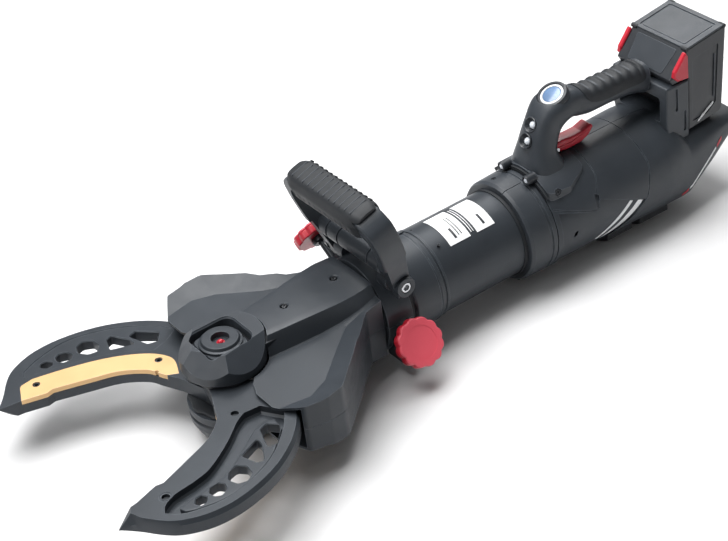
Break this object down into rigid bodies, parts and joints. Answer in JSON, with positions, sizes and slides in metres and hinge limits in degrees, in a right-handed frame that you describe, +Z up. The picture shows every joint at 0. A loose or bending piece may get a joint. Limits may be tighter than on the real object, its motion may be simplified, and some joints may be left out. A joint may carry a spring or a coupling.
{
  "type": "rescue cutter",
  "caption": "Battery-driven hydraulic rescue cutter: curved shear blades in a winged guard, cylinder, swivelling carry handle, rear handle with trigger, slide-on battery pack.",
  "frame": {"origin": "on the blades' pivot axis, at the flat skid face under the front hub", "axes": "+X from the blades to the battery along the tool, +Y towards the far side, +Z up"},
  "size_m": [0.8825, 0.366, 0.2287],
  "materials": {
    "coated_steel": "grey powder coat, fine grain",
    "dark_steel": "phosphated black",
    "bright_steel": "ground and polished",
    "blade_insert": "gold-toned hard coating",
    "anthracite": "satin moulded",
    "black_plastic": "fine moulded grain",
    "black_rubber": "matt",
    "red_plastic": "satin",
    "white_label": "printed film, blank",
    "lamp_lens": "clear",
    "blue_display": "clear-coated",
    "aluminium": "machined",
    "copper_winding": "lacquered wire",
    "green_board": "solder mask"
  },
  "bodies": {
    "tool_body": {"yoke": "coated_steel", "pivot_bolt": "dark_steel", "pivot_nut": "dark_steel", "thrust_washer_upper": "bright_steel", "thrust_washer_lower": "bright_steel", "nose_cover_upper": "anthracite", "nose_cover_lower": "anthracite", "guard_upper": "anthracite", "guard_lower": "anthracite", "cylinder_tube": "coated_steel", "rod_gland": "aluminium", "cylinder_base": "aluminium", "front_sleeve": "anthracite", "rear_collar": "anthracite", "rating_label": "white_label", "valve_block": "aluminium", "pump_block": "aluminium", "oil_bladder": "black_rubber", "bearing_front": "bright_steel", "bearing_rear": "bright_steel", "motor_stator": "copper_winding", "control_board": "green_board", "housing_left": "anthracite", "housing_right": "anthracite", "foot_front": "black_rubber", "foot_rear": "black_rubber", "rear_handle": "anthracite", "trigger_pin": "bright_steel", "soft_grip": "black_rubber", "display_bezel": "white_label", "spot_lamp_upper": "lamp_lens", "spot_lamp_lower": "lamp_lens", "battery_dock": "anthracite", "contact_rail": "black_plastic"},
    "blade_far": {"blade_far": "coated_steel", "insert_far": "blade_insert", "tail_pin_far": "bright_steel"},
    "blade_near": {"blade_near": "coated_steel", "insert_near": "blade_insert", "tail_pin_near": "bright_steel"},
    "ram": {"crosshead": "dark_steel", "piston_rod": "bright_steel", "piston": "bright_steel"},
    "link_far": {"link_far": "dark_steel"},
    "link_near": {"link_near": "dark_steel"},
    "carry_handle": {"clamp_upper": "dark_steel", "clamp_lower": "dark_steel", "carry_handle_frame": "anthracite", "carry_grip": "black_rubber", "cross_bar": "dark_steel", "boss_bolt_far": "bright_steel", "boss_bolt_near": "bright_steel"},
    "knob_far": {"knob_far": "red_plastic"},
    "knob_near": {"knob_near": "red_plastic"},
    "motor_rotor": {"motor_rotor": "bright_steel"},
    "trigger": {"trigger": "red_plastic"},
    "power_button": {"power_button": "blue_display"},
    "battery": {"battery_pack": "black_plastic"},
    "latch_left": {"battery_latch_left": "red_plastic"},
    "latch_right": {"battery_latch_right": "red_plastic"}
  },
  "joints": [
    {"name": "blade_near_swing", "type": "hinge", "parent": "tool_body", "child": "blade_near", "pos_m": [0, 0, 0.066], "axis": [0, 0, -1], "range_deg": [0, 45]},
    {"name": "blade_far_swing", "type": "hinge", "parent": "tool_body", "child": "blade_far", "pos_m": [0, 0, 0.066], "axis": [0, 0, 1], "range_deg": [0, 45]},
    {"name": "ram_stroke", "type": "slide", "parent": "tool_body", "child": "ram", "axis": [-1, 0, 0], "range_m": [0, 0.03743]},
    {"name": "link_far_swing", "type": "hinge", "parent": "ram", "child": "link_far", "pos_m": [0.09886, 0.016, 0.066], "axis": [0, 0, -1], "range_deg": [0, 13.36]},
    {"name": "link_near_swing", "type": "hinge", "parent": "ram", "child": "link_near", "pos_m": [0.09886, -0.016, 0.066], "axis": [0, 0, 1], "range_deg": [0, 13.36]},
    {"name": "carry_handle_swivel", "type": "hinge", "parent": "tool_body", "child": "carry_handle", "pos_m": [0.185, 0, 0.066], "axis": [1, 0, 0], "range_deg": [-90, 90]},
    {"name": "knob_far_turn", "type": "hinge", "parent": "carry_handle", "child": "knob_far", "pos_m": [0.185, 0.093, 0.107], "axis": [0, 0.829, 0.5592], "continuous": true},
    {"name": "knob_near_turn", "type": "hinge", "parent": "carry_handle", "child": "knob_near", "pos_m": [0.185, -0.08, 0.052], "axis": [0, -0.829, 0.5592], "continuous": true},
    {"name": "motor_spin", "type": "hinge", "parent": "tool_body", "child": "motor_rotor", "pos_m": [0.49, 0, 0.066], "axis": [1, 0, 0], "continuous": true},
    {"name": "trigger_pull", "type": "hinge", "parent": "tool_body", "child": "trigger", "pos_m": [0.44, 0, 0.1405], "axis": [0, -1, 0], "range_deg": [0, 12], "stiffness_Nm_per_rad": 0.5, "springref_deg": -8.59},
    {"name": "power_button_press", "type": "slide", "parent": "tool_body", "child": "power_button", "axis": [0.4191, 0, -0.908], "range_m": [0, 0.002], "stiffness_N_per_m": 400, "springref_m": -0.001},
    {"name": "battery_slide", "type": "slide", "parent": "tool_body", "child": "battery", "axis": [0, 0, 1], "range_m": [0, 0.12]},
    {"name": "latch_left_press", "type": "slide", "parent": "battery", "child": "latch_left", "axis": [0, 1, 0], "range_m": [0, 0.003], "stiffness_N_per_m": 500, "springref_m": -0.001},
    {"name": "latch_right_press", "type": "slide", "parent": "battery", "child": "latch_right", "axis": [0, -1, 0], "range_m": [0, 0.003], "stiffness_N_per_m": 500, "springref_m": -0.001}
  ],
  "couplings": [
    {"joint": "blade_far_swing", "follows": "blade_near_swing", "ratio": 1},
    {"joint": "ram_stroke", "follows": "blade_near_swing", "m_per_rad": 0.047527},
    {"joint": "link_far_swing", "follows": "blade_near_swing", "ratio": 0.29577},
    {"joint": "link_near_swing", "follows": "blade_near_swing", "ratio": 0.29577}
  ]
}
